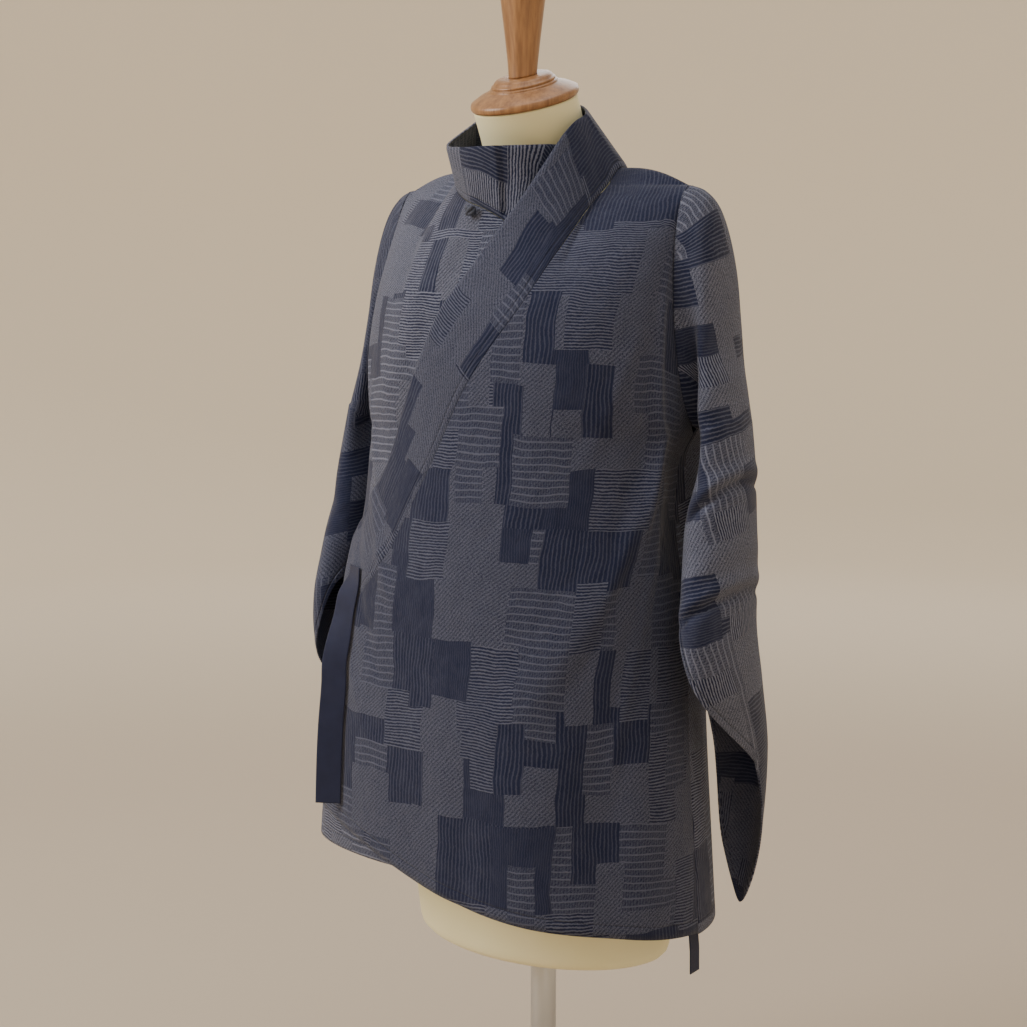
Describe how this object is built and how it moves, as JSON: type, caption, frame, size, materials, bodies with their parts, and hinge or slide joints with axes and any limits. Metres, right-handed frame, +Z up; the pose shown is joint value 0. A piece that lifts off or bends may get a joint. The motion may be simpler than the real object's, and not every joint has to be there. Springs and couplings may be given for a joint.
{
  "type": "cross-collar wrap top on dress form",
  "caption": "Patchwork-woven wrap top with a crossed band collar, wide cropped sleeves and side ties, worn on a limbless dress form that stands on a short pole and a round base.",
  "frame": {"origin": "centre of the stand base's underside, on the surface that it stands on", "axes": "+Z up along the pole, -Y the way the wearer faces, +X the wearer's left"},
  "size_m": [0.5328, 0.3641, 1.3303],
  "materials": {
    "cloth": "matte jacquard of navy and grey-blue patches, textured by stripes and twill",
    "tie": "plain dark navy tape",
    "form_cover": "cream cotton cover, tightly stretched",
    "wood": "satin turned wood",
    "pole": "brushed steel tube"
  },
  "bodies": {
    "root": {"outer_front": "cloth", "under_front": "cloth", "back": "cloth", "sleeve_left": "cloth", "sleeve_right": "cloth", "collar_outer": "cloth", "collar_inner": "cloth", "collar_knot": "tie", "tie_outer": "tie", "tie_inner": "tie", "form_body": "form_cover", "neck_cap": "wood", "neck_finial": "wood", "stand_pole": "pole", "stand_base": "wood"}
  },
  "joints": []
}
